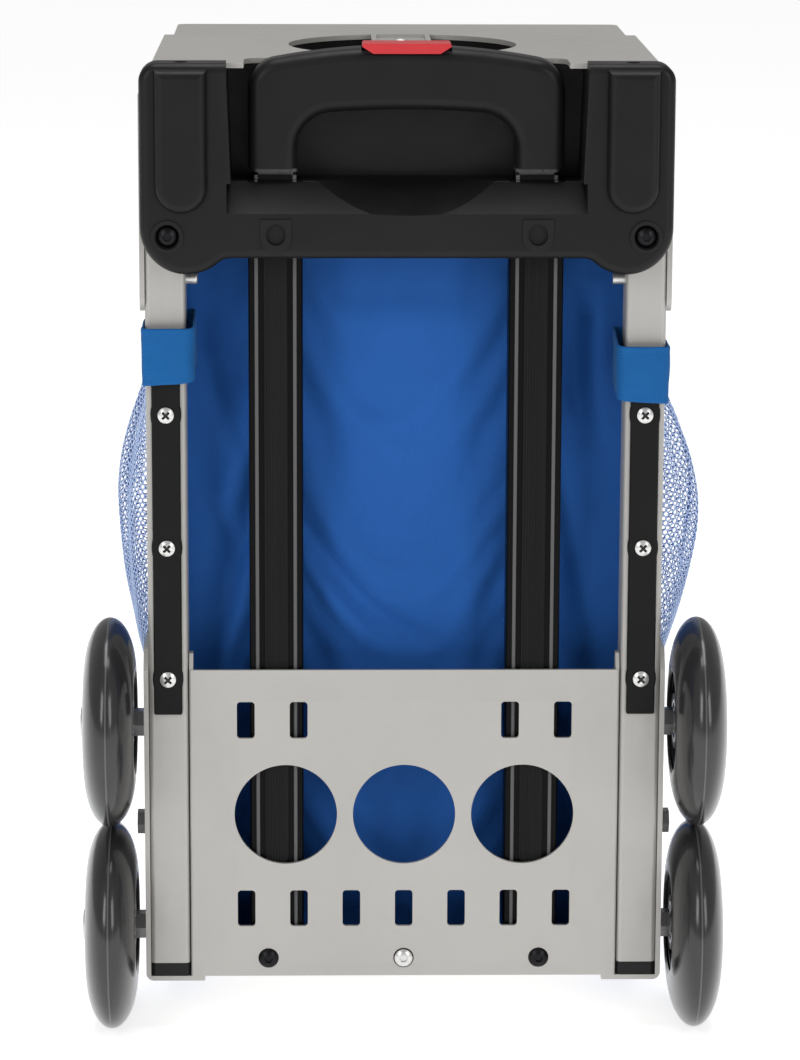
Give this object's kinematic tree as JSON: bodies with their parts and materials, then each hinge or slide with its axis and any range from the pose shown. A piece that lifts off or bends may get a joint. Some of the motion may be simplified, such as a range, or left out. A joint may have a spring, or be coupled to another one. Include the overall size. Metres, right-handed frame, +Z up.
{
  "type": "wheeled frame bag",
  "caption": "Boxy sport bag on an aluminium seat frame, with a telescoping pull handle, stacked wheels on each side and mesh side pockets.",
  "frame": {"origin": "centre of the footprint, on the ground", "axes": "+Z up, +Y towards the front of the bag, the handle on the -Y side, +X to the right seen from the handle side"},
  "size_m": [0.3288, 0.2764, 0.5046],
  "materials": {
    "frame_paint": "warm light grey satin paint on aluminium sheet",
    "dark_plastic": "finely textured moulded nylon",
    "cap_plastic": "smooth moulded plastic",
    "bright_screw": "zinc plated",
    "dark_screw": "black oxide",
    "black_tube": "black anodised",
    "inner_tube": "dark anodised",
    "red_plastic": "satin moulded plastic",
    "spring_steel": "blued spring strip",
    "foot_rubber": "matt rubber",
    "bag_fabric": "plain woven nylon",
    "strap_web": "narrow webbing",
    "pocket_mesh": "open knotless mesh",
    "zip_pull": "moulded pull",
    "wheel_urethane": "smoky cast polyurethane",
    "wheel_hub": "moulded nylon",
    "bearing_steel": "polished races with dark shields"
  },
  "bodies": {
    "frame": {"axle_bolts": "bright_screw", "axle_spacers": "bright_screw", "bag_back": "bag_fabric", "bag_floor": "bag_fabric", "bag_front": "bag_fabric", "bag_side_left": "bag_fabric", "bag_side_right": "bag_fabric", "bag_top": "bag_fabric", "base_tray": "frame_paint", "bracket_bolts": "dark_screw", "front_feet": "foot_rubber", "front_post_left": "frame_paint", "front_post_right": "frame_paint", "handle_housing": "dark_plastic", "housing_screws": "dark_screw", "housing_studs": "bright_screw", "mesh_pocket_left": "pocket_mesh", "mesh_pocket_right": "pocket_mesh", "outer_tubes": "black_tube", "post_caps": "cap_plastic", "post_strap_left": "strap_web", "post_strap_right": "strap_web", "rear_panel": "frame_paint", "rear_post_left": "frame_paint", "rear_post_right": "frame_paint", "rub_strips": "cap_plastic", "seat_rivet": "bright_screw", "seat_shell": "frame_paint", "seat_well": "dark_plastic", "side_bracket_left": "frame_paint", "side_bracket_right": "frame_paint", "strip_screws": "bright_screw", "tray_screw_centre": "bright_screw", "tray_screws": "dark_screw", "tube_shoes": "dark_plastic", "tube_strips": "black_tube"},
    "middle_stage": {"middle_tubes": "black_tube"},
    "grip_stage": {"inner_tubes": "inner_tube", "grip": "dark_plastic", "grip_ferrules": "inner_tube", "release_spring": "spring_steel"},
    "release_button": {"release_button": "red_plastic"},
    "bag_flap": {"bag_flap": "bag_fabric", "flap_pocket": "bag_fabric", "zip_pulls": "zip_pull"},
    "wheel_lower_left": {"wheel_lower_left_tyre": "wheel_urethane", "wheel_lower_left_hub": "wheel_hub", "wheel_lower_left_bearings": "bearing_steel"},
    "wheel_lower_right": {"wheel_lower_right_tyre": "wheel_urethane", "wheel_lower_right_hub": "wheel_hub", "wheel_lower_right_bearings": "bearing_steel"},
    "wheel_upper_left": {"wheel_upper_left_tyre": "wheel_urethane", "wheel_upper_left_hub": "wheel_hub", "wheel_upper_left_bearings": "bearing_steel"},
    "wheel_upper_right": {"wheel_upper_right_tyre": "wheel_urethane", "wheel_upper_right_hub": "wheel_hub", "wheel_upper_right_bearings": "bearing_steel"}
  },
  "joints": [
    {"name": "handle_lower_slide", "type": "slide", "parent": "frame", "child": "middle_stage", "axis": [0, 0, 1], "range_m": [0, 0.242]},
    {"name": "handle_upper_slide", "type": "slide", "parent": "middle_stage", "child": "grip_stage", "axis": [0, 0, 1], "range_m": [0, 0.242]},
    {"name": "release_press", "type": "slide", "parent": "grip_stage", "child": "release_button", "axis": [0, 0, -1], "range_m": [0, 0.0025], "stiffness_N_per_m": 700, "springref_m": -0.003, "deforming": ["release_spring"]},
    {"name": "flap_hinge", "type": "hinge", "parent": "frame", "child": "bag_flap", "pos_m": [0, 0.126, 0.064], "axis": [-1, 0, 0], "range_deg": [0, 100]},
    {"name": "wheel_lower_left_spin", "type": "hinge", "parent": "frame", "child": "wheel_lower_left", "pos_m": [-0.149, -0.085, 0.0532], "axis": [1, 0, 0], "continuous": true},
    {"name": "wheel_lower_right_spin", "type": "hinge", "parent": "frame", "child": "wheel_lower_right", "pos_m": [0.149, -0.085, 0.0532], "axis": [1, 0, 0], "continuous": true},
    {"name": "wheel_upper_left_spin", "type": "hinge", "parent": "frame", "child": "wheel_upper_left", "pos_m": [-0.149, -0.085, 0.1602], "axis": [1, 0, 0], "continuous": true},
    {"name": "wheel_upper_right_spin", "type": "hinge", "parent": "frame", "child": "wheel_upper_right", "pos_m": [0.149, -0.085, 0.1602], "axis": [1, 0, 0], "continuous": true}
  ]
}
